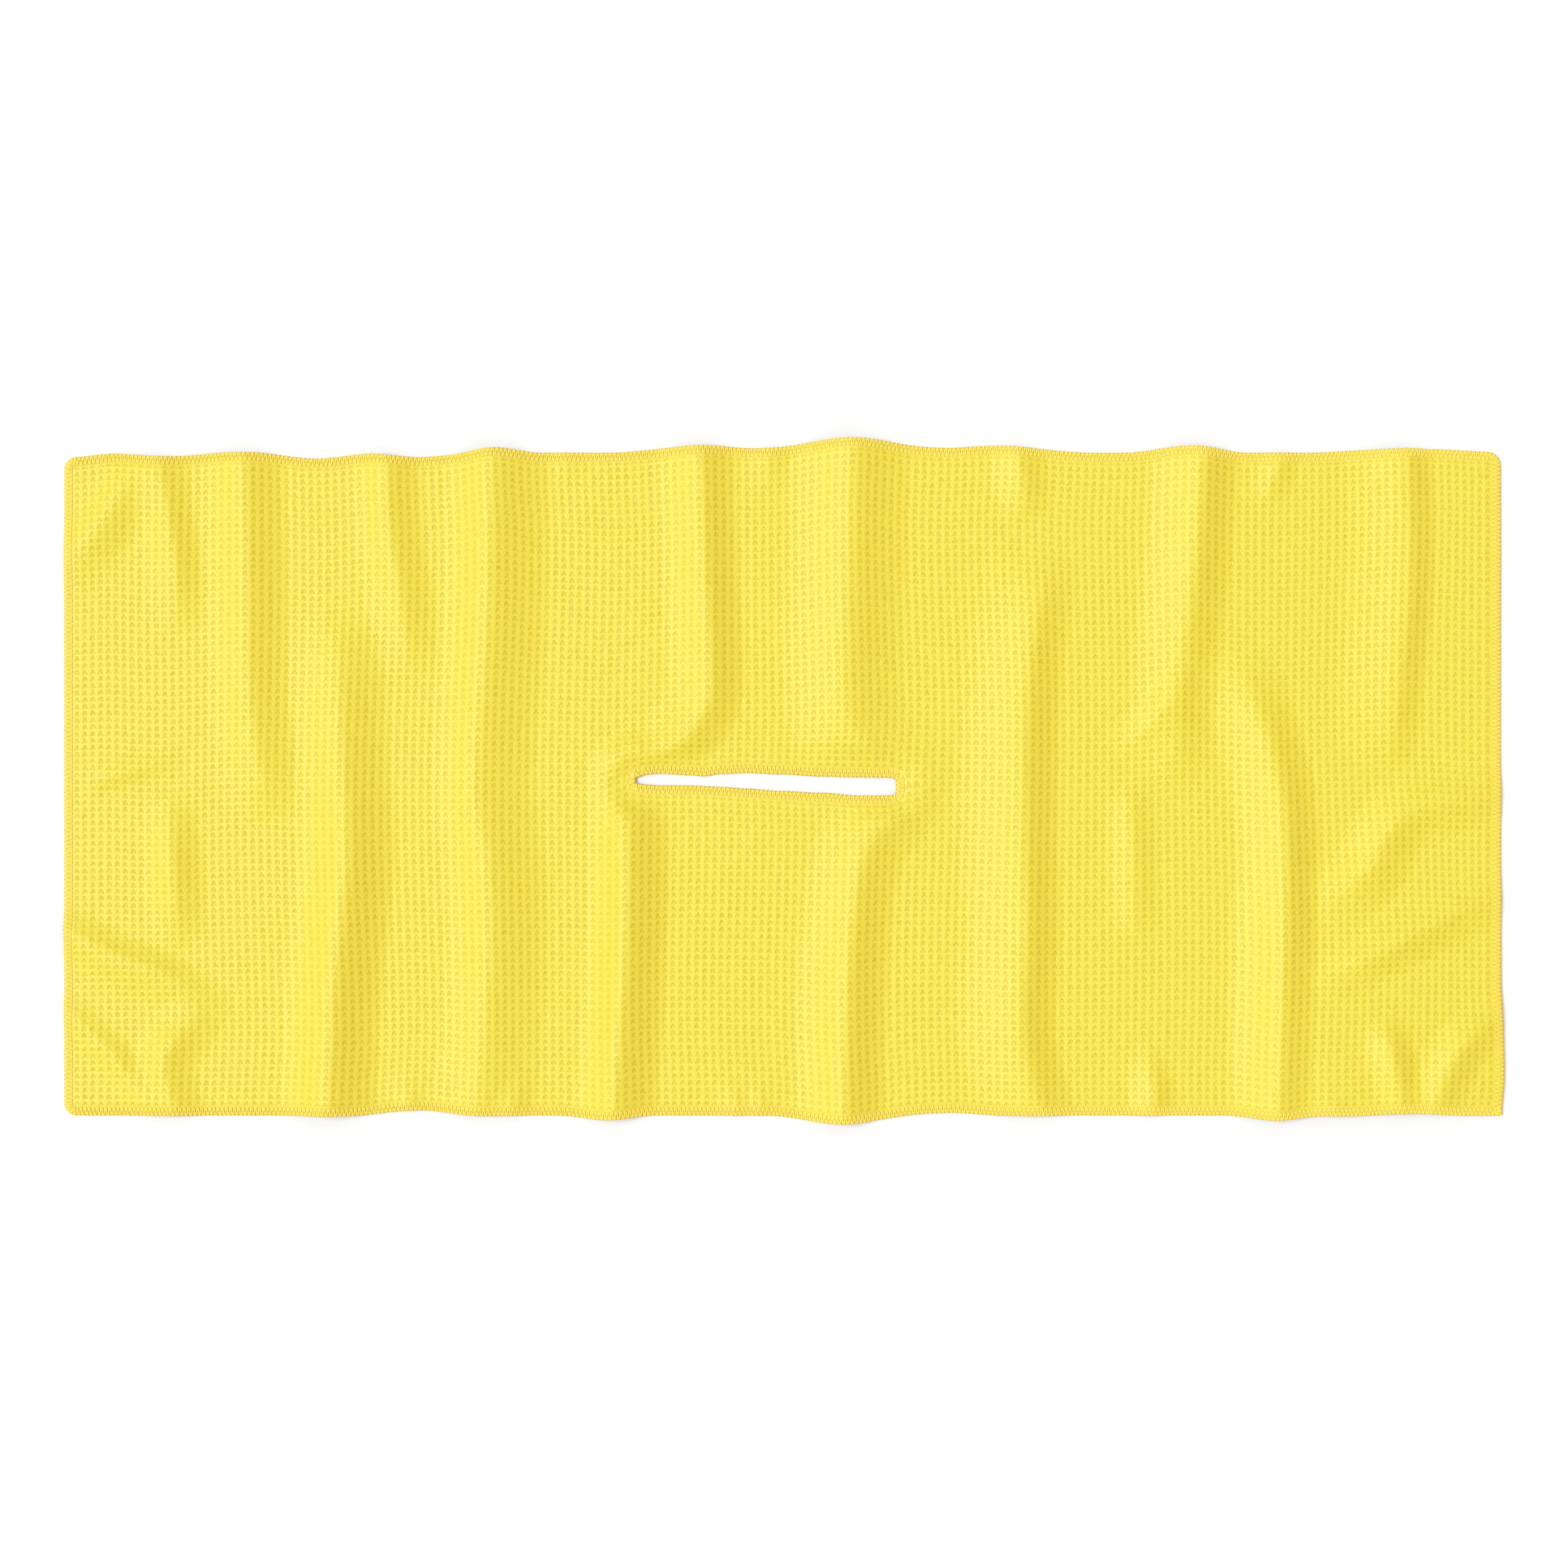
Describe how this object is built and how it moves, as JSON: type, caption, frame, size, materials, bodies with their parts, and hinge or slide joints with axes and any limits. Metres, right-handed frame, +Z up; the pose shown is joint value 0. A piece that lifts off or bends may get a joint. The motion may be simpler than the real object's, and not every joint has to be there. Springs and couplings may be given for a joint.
{
  "type": "golf towel",
  "caption": "Long rectangular waffle-weave microfibre golf towel, laid flat with soft ripples, overlocked edges and a lengthwise centre slit that slips over a club head",
  "frame": {"origin": "on the surface the towel lies on, under the middle of its box", "axes": "+X along the towel, +Y across it, +Z up off the surface it lies on"},
  "size_m": [1.0034, 0.4786, 0.0176],
  "materials": {
    "waffle_cloth": "matte waffle weave, soft pile",
    "needle_thread": "spun thread",
    "upper_looper_thread": "soft textured thread",
    "lower_looper_thread": "soft textured thread"
  },
  "bodies": {
    "root": {"waffle_cloth": "waffle_cloth", "edge_needle_thread": "needle_thread", "edge_upper_looper_thread": "upper_looper_thread", "edge_lower_looper_thread": "lower_looper_thread", "slit_needle_thread": "needle_thread", "slit_upper_looper_thread": "upper_looper_thread", "slit_lower_looper_thread": "lower_looper_thread"}
  },
  "joints": []
}
